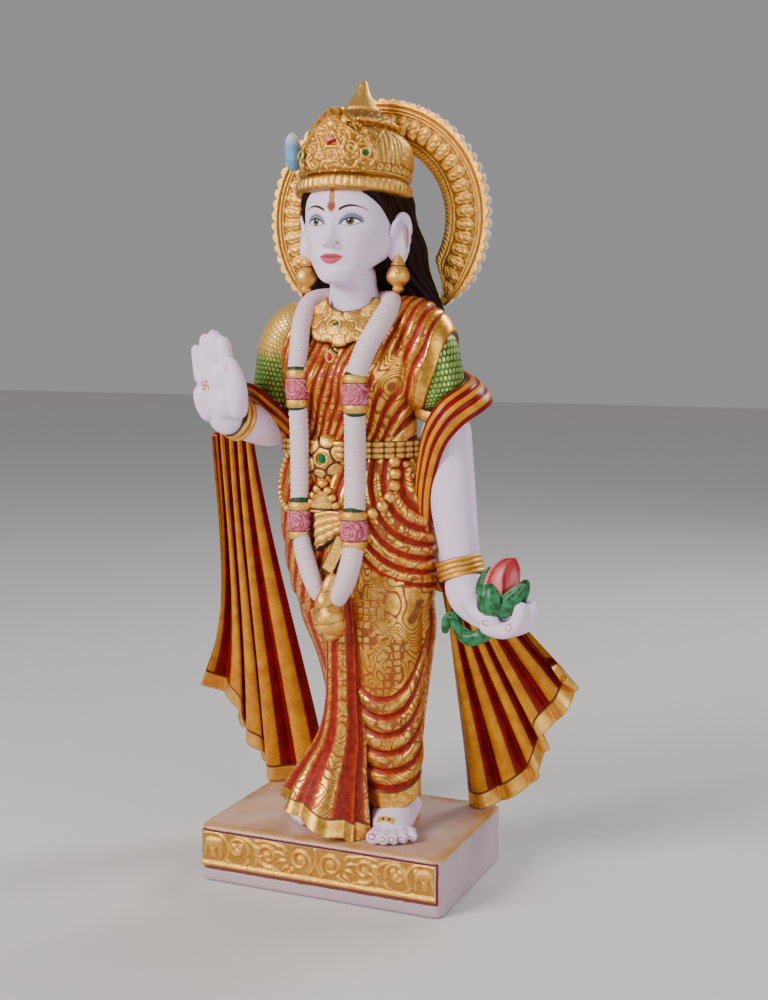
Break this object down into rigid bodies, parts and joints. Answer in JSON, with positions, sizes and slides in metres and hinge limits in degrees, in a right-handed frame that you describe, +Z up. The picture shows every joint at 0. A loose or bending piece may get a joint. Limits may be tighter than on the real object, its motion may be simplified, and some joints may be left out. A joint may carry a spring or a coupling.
{
  "type": "marble standing goddess idol",
  "caption": "Painted and gilded marble goddess standing on an oblong plinth, palm raised, lotus bud in the other hand, a toothed halo behind the crown and a fluted scarf to each side.",
  "frame": {"origin": "middle of the plinth's underside", "axes": "+Z up, the figure faces -Y, +X to the viewer's right"},
  "size_m": [0.323, 0.1397, 0.61],
  "materials": {
    "white_marble": "polished white marble, faintly translucent",
    "gold_paint": "burnished gold leaf and gold paint on carved marble",
    "red_paint": "deep red enamel paint with gold brocade on carved marble",
    "ochre_paint": "ochre and red striped enamel paint on carved marble",
    "green_paint": "green enamel paint on carved marble",
    "hair_paint": "dark brown enamel paint on carved marble",
    "rose_paint": "rose pink enamel paint on carved marble",
    "red_glass": "cut red glass, foil backed",
    "green_glass": "cut green glass, foil backed"
  },
  "bodies": {
    "root": {"idol": "white_marble", "crown_front_stone": "red_glass", "crown_left_stone": "green_glass", "crown_right_stone": "green_glass", "necklace_stone": "green_glass", "necklace_drop_stone": "red_glass", "buckle_stone": "green_glass"}
  },
  "joints": []
}
